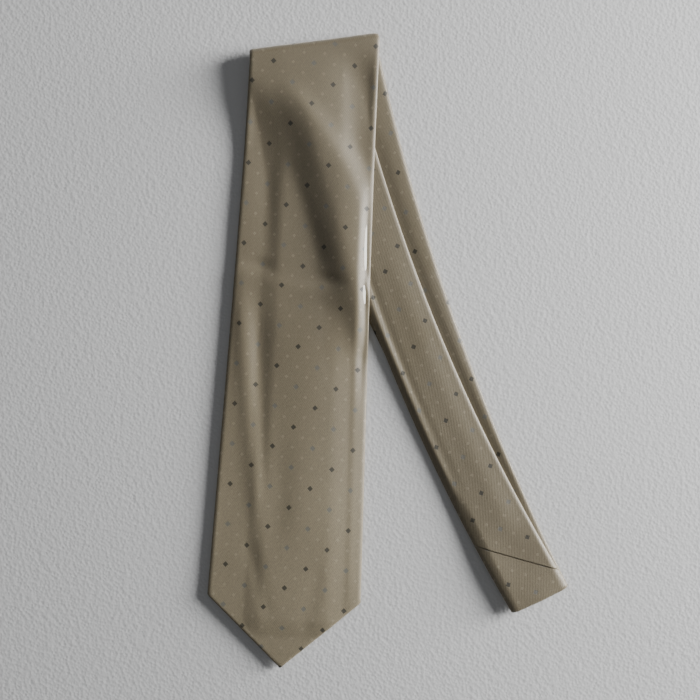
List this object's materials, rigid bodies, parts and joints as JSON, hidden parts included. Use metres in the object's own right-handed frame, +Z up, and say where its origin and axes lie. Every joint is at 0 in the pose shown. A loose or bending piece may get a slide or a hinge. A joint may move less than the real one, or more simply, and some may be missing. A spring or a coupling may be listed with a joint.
{
  "type": "necktie",
  "caption": "Three-piece lined necktie in patterned cloth, laid flat and folded in half twice, with pointed blade and tail, keeper loop and blank label",
  "frame": {"origin": "on the rest plane, on the underside of the return (the lowest layer), on its centreline 20 mm in from the blade fold", "axes": "+Z up from the rest plane; -Y runs from the blade fold towards the blade's point, which leans 3 degrees towards -X; +X is the side the neck fold lies on"},
  "size_m": [0.2184, 0.3841, 0.0103],
  "materials": {
    "patterned_silk": "bias-cut silk jacquard with a small diagonal lattice of squares",
    "tipping_lining": "plain satin lining",
    "wool_interlining": "brushed wool and viscose interlining",
    "thread": "spun sewing thread",
    "label_cloth": "plain woven satin, blank"
  },
  "bodies": {
    "neck_base": {"return_shell": "patterned_silk", "return_interlining": "wool_interlining", "return_slip_stitch": "thread", "neck_base_shell": "patterned_silk", "neck_base_interlining": "wool_interlining", "neck_base_slip_stitch": "thread", "tail_fold_shell": "patterned_silk", "tail_join_stitches": "thread"},
    "neck_loop": {"neck_end_shell": "patterned_silk", "neck_loop_shell": "patterned_silk", "neck_loop_interlining": "wool_interlining", "neck_loop_slip_stitch": "thread", "front_join_stitches": "thread"},
    "front_blade": {"blade_shell": "patterned_silk", "blade_interlining": "wool_interlining", "blade_tipping": "tipping_lining", "blade_bar_tack": "thread", "blade_slip_stitch": "thread", "keeper_loop": "patterned_silk", "keeper_tacks": "thread", "blank_label": "label_cloth", "label_tacks": "thread"},
    "tail": {"tail_shell": "patterned_silk", "tail_interlining": "wool_interlining", "tail_tipping": "tipping_lining", "tail_bar_tack": "thread", "tail_slip_stitch": "thread"}
  },
  "joints": [
    {"name": "blade_fold", "type": "hinge", "parent": "neck_base", "child": "front_blade", "pos_m": [-0.00626, 0.019, 0.00515], "axis": [-0.9912, -0.1323, 0], "range_deg": [0, 180]},
    {"name": "tail_fold", "type": "hinge", "parent": "neck_base", "child": "tail", "pos_m": [-0.00626, 0.019, 0.00515], "axis": [-0.9912, -0.1323, 0], "range_deg": [0, 180]},
    {"name": "neck_lift", "type": "hinge", "parent": "neck_base", "child": "neck_loop", "pos_m": [0.06531, -0.17304, 0.0051], "axis": [-0.9205, -0.3907, 0], "range_deg": [0, 120]}
  ],
  "couplings": [
    {"joint": "tail_fold", "follows": "blade_fold", "ratio": 1}
  ]
}
